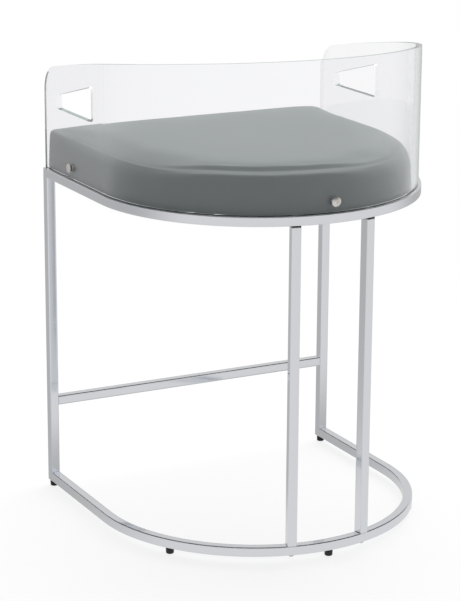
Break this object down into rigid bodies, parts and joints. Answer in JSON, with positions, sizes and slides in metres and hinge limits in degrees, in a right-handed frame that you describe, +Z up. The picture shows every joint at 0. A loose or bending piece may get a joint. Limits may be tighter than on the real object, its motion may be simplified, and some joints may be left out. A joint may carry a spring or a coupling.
{
  "type": "counter stool",
  "caption": "Counter stool with a square chrome tube frame, a D-shaped grey upholstered seat and a clear wrap-round back panel with two handle holes.",
  "frame": {"origin": "Middle of the floor footprint, on the floor plane under the feet.", "axes": "+Z up, -Y towards the sitter's front, +X to the sitter's left."},
  "size_m": [0.572, 0.542, 0.836],
  "materials": {
    "chrome_tube": "polished",
    "bright_steel": "bright zinc",
    "zinc_steel": "zinc plated",
    "satin_nickel": "satin nickel",
    "brass_insert": "plain",
    "black_rubber": "matte",
    "black_plastic": "matte",
    "plywood": "raw",
    "foam": "open cell foam",
    "grey_leather": "soft matte",
    "black_cloth": "non-woven",
    "clear_acrylic": "clear, polished edges",
    "clear_washer": "clear"
  },
  "bodies": {
    "stool": {"top_rail": "chrome_tube", "seat_front_rail": "chrome_tube", "base_rail": "chrome_tube", "front_leg_left": "chrome_tube", "front_leg_right": "chrome_tube", "rear_leg_left": "chrome_tube", "rear_leg_right": "chrome_tube", "footrest_bar": "chrome_tube", "seat_tabs": "chrome_tube", "rear_leg_top_screws": "bright_steel", "rear_leg_bottom_screws": "bright_steel", "seat_screws": "bright_steel", "seat_washers": "bright_steel", "rear_leg_inserts": "zinc_steel", "foot_nuts": "zinc_steel", "tee_nuts": "zinc_steel", "panel_screws": "satin_nickel", "panel_spacers": "satin_nickel", "rim_inserts": "brass_insert", "rear_leg_gaskets": "black_rubber", "seat_board": "plywood", "seat_rim": "plywood", "foam_pad": "foam", "seat_cover": "grey_leather", "dust_cover": "black_cloth", "back_panel": "clear_acrylic", "panel_washers": "clear_washer"},
    "foot_front_left": {"foot_front_left": "black_plastic", "stud_front_left": "bright_steel"},
    "foot_front_right": {"foot_front_right": "black_plastic", "stud_front_right": "bright_steel"},
    "foot_side_left": {"foot_side_left": "black_plastic", "stud_side_left": "bright_steel"},
    "foot_side_right": {"foot_side_right": "black_plastic", "stud_side_right": "bright_steel"},
    "foot_back": {"foot_back": "black_plastic", "stud_back": "bright_steel"}
  },
  "joints": [
    {"name": "level_front_left", "type": "slide", "parent": "stool", "child": "foot_front_left", "axis": [0, 0, -1], "range_m": [0, 0.006]},
    {"name": "level_front_right", "type": "slide", "parent": "stool", "child": "foot_front_right", "axis": [0, 0, -1], "range_m": [0, 0.006]},
    {"name": "level_side_left", "type": "slide", "parent": "stool", "child": "foot_side_left", "axis": [0, 0, -1], "range_m": [0, 0.006]},
    {"name": "level_side_right", "type": "slide", "parent": "stool", "child": "foot_side_right", "axis": [0, 0, -1], "range_m": [0, 0.006]},
    {"name": "level_back", "type": "slide", "parent": "stool", "child": "foot_back", "axis": [0, 0, -1], "range_m": [0, 0.006]}
  ]
}
